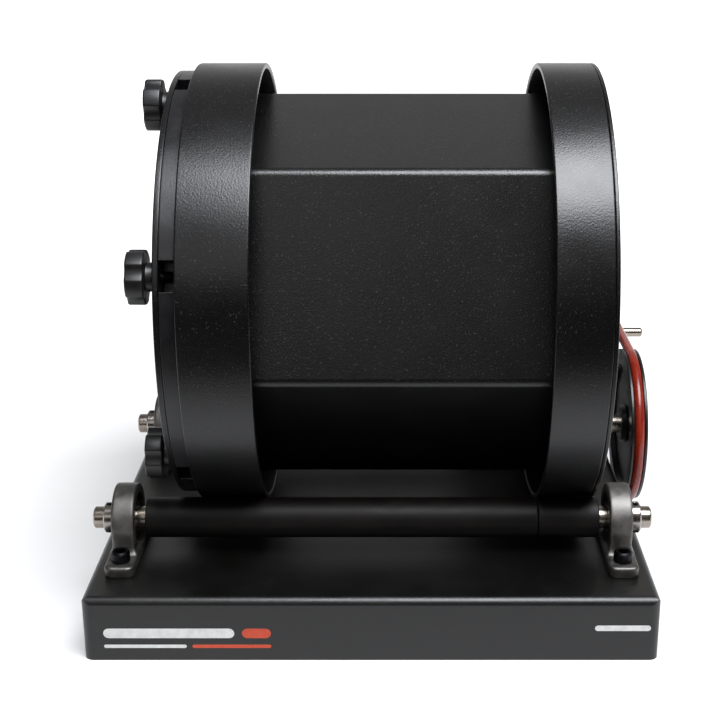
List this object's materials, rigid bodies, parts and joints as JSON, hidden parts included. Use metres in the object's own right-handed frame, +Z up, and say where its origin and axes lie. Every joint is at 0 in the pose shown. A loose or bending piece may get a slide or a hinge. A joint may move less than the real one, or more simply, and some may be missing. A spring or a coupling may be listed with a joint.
{
  "type": "rotary rock tumbler",
  "caption": "Rotary rock tumbler: a hexagonal lidded barrel with round rims lies on two rubber-sleeved rollers in pillow blocks, driven by a round belt from a motor on a sheet steel base.",
  "frame": {"origin": "middle of the base pan's underside", "axes": "+X to the drive side along the rollers, +Y to the motor at the back, +Z up"},
  "size_m": [0.3364, 0.336, 0.2911],
  "materials": {
    "pan_powder_coat": "semi-matte black powder coat",
    "barrel_powder_coat": "fine-textured black powder coat",
    "cast_zinc": "bare die-cast zinc alloy, satin grey",
    "ground_steel": "ground steel shafting",
    "bearing_steel": "polished bearing steel",
    "ball_steel": "polished steel",
    "seal_rubber": "black nitrile rubber",
    "sleeve_rubber": "semi-gloss black rubber",
    "liner_rubber": "matt black moulded rubber",
    "black_oxide": "black oxide steel",
    "zinc_plate": "bright zinc-plated steel",
    "pulley_coat": "satin black",
    "turned_aluminium": "turned aluminium",
    "cast_aluminium": "as-cast aluminium",
    "urethane": "glossy red-orange urethane",
    "motor_paint": "semi-gloss black enamel",
    "lamination_steel": "stacked electrical steel",
    "copper": "enamelled copper wire",
    "bronze": "sintered bronze",
    "black_nylon": "moulded black nylon",
    "knob_plastic": "satin black phenolic plastic"
  },
  "bodies": {
    "base": {"base_pan": "pan_powder_coat", "pillow_block_front_left": "cast_zinc", "pillow_block_front_right": "cast_zinc", "pillow_block_rear_left": "cast_zinc", "pillow_block_rear_right": "cast_zinc", "bearing_outer_rings": "bearing_steel", "bearing_balls": "ball_steel", "bearing_seals": "seal_rubber", "block_screws": "black_oxide", "block_nuts": "zinc_plate", "motor_housing": "motor_paint", "motor_front_bell": "cast_aluminium", "motor_rear_bell": "cast_aluminium", "motor_stator": "lamination_steel", "motor_windings": "copper", "motor_bushings": "bronze", "motor_bolts": "zinc_plate", "motor_bracket": "pan_powder_coat", "bracket_screws": "black_oxide", "cord_gland": "black_nylon", "drive_belt": "urethane"},
    "motor_armature": {"motor_shaft": "ground_steel", "motor_rotor": "lamination_steel", "motor_fan": "black_nylon", "motor_pulley": "turned_aluminium", "motor_pulley_screw": "black_oxide"},
    "front_roller": {"front_shaft": "ground_steel", "front_long_sleeve": "sleeve_rubber", "front_short_sleeve": "sleeve_rubber", "front_bearing_inners": "bearing_steel", "front_collar_screws": "black_oxide"},
    "rear_roller": {"rear_shaft": "ground_steel", "rear_long_sleeve": "sleeve_rubber", "rear_short_sleeve": "sleeve_rubber", "rear_bearing_inners": "bearing_steel", "rear_collar_screws": "black_oxide", "driven_pulley": "pulley_coat", "driven_pulley_screw": "black_oxide"},
    "barrel": {"barrel_shell": "barrel_powder_coat", "end_plate": "barrel_powder_coat", "left_rim": "barrel_powder_coat", "right_rim": "barrel_powder_coat", "lid_flange": "barrel_powder_coat", "weld_nuts": "zinc_plate", "rubber_liner": "liner_rubber"},
    "lid": {"lid_plate": "barrel_powder_coat", "lid_gasket": "liner_rubber"},
    "knob_1": {"knob_1": "knob_plastic", "knob_stud_1": "zinc_plate"},
    "knob_2": {"knob_2": "knob_plastic", "knob_stud_2": "zinc_plate"},
    "knob_3": {"knob_3": "knob_plastic", "knob_stud_3": "zinc_plate"},
    "knob_4": {"knob_4": "knob_plastic", "knob_stud_4": "zinc_plate"},
    "knob_5": {"knob_5": "knob_plastic", "knob_stud_5": "zinc_plate"},
    "knob_6": {"knob_6": "knob_plastic", "knob_stud_6": "zinc_plate"}
  },
  "joints": [
    {"name": "barrel_spin", "type": "hinge", "parent": "base", "child": "barrel", "pos_m": [0, -0.036, 0.16857], "axis": [1, 0, 0], "continuous": true},
    {"name": "front_roller_spin", "type": "hinge", "parent": "base", "child": "front_roller", "pos_m": [0, -0.106, 0.0546], "axis": [1, 0, 0], "continuous": true},
    {"name": "rear_roller_spin", "type": "hinge", "parent": "base", "child": "rear_roller", "pos_m": [0, 0.034, 0.0546], "axis": [1, 0, 0], "continuous": true},
    {"name": "motor_spin", "type": "hinge", "parent": "base", "child": "motor_armature", "pos_m": [0.1, 0.1205, 0.0884], "axis": [1, 0, 0], "continuous": true},
    {"name": "lid_slide", "type": "slide", "parent": "barrel", "child": "lid", "axis": [-1, 0, 0], "range_m": [0, 0.0216]},
    {"name": "knob_1_turn", "type": "hinge", "parent": "lid", "child": "knob_1", "pos_m": [-0.11, -0.13774, 0.20006], "axis": [-1, 0, 0], "range_deg": [0, 2520]},
    {"name": "knob_2_turn", "type": "hinge", "parent": "lid", "child": "knob_2", "pos_m": [-0.11, -0.11414, 0.09621], "axis": [-1, 0, 0], "range_deg": [0, 2520]},
    {"name": "knob_3_turn", "type": "hinge", "parent": "lid", "child": "knob_3", "pos_m": [-0.11, -0.0124, 0.06472], "axis": [-1, 0, 0], "range_deg": [0, 2520]},
    {"name": "knob_4_turn", "type": "hinge", "parent": "lid", "child": "knob_4", "pos_m": [-0.11, 0.06574, 0.13708], "axis": [-1, 0, 0], "range_deg": [0, 2520]},
    {"name": "knob_5_turn", "type": "hinge", "parent": "lid", "child": "knob_5", "pos_m": [-0.11, 0.04214, 0.24093], "axis": [-1, 0, 0], "range_deg": [0, 2520]},
    {"name": "knob_6_turn", "type": "hinge", "parent": "lid", "child": "knob_6", "pos_m": [-0.11, -0.0596, 0.27242], "axis": [-1, 0, 0], "range_deg": [0, 2520]}
  ],
  "couplings": [
    {"joint": "front_roller_spin", "follows": "barrel_spin", "ratio": -11.136},
    {"joint": "rear_roller_spin", "follows": "barrel_spin", "ratio": -11.136},
    {"joint": "motor_spin", "follows": "barrel_spin", "ratio": -40.091}
  ]
}
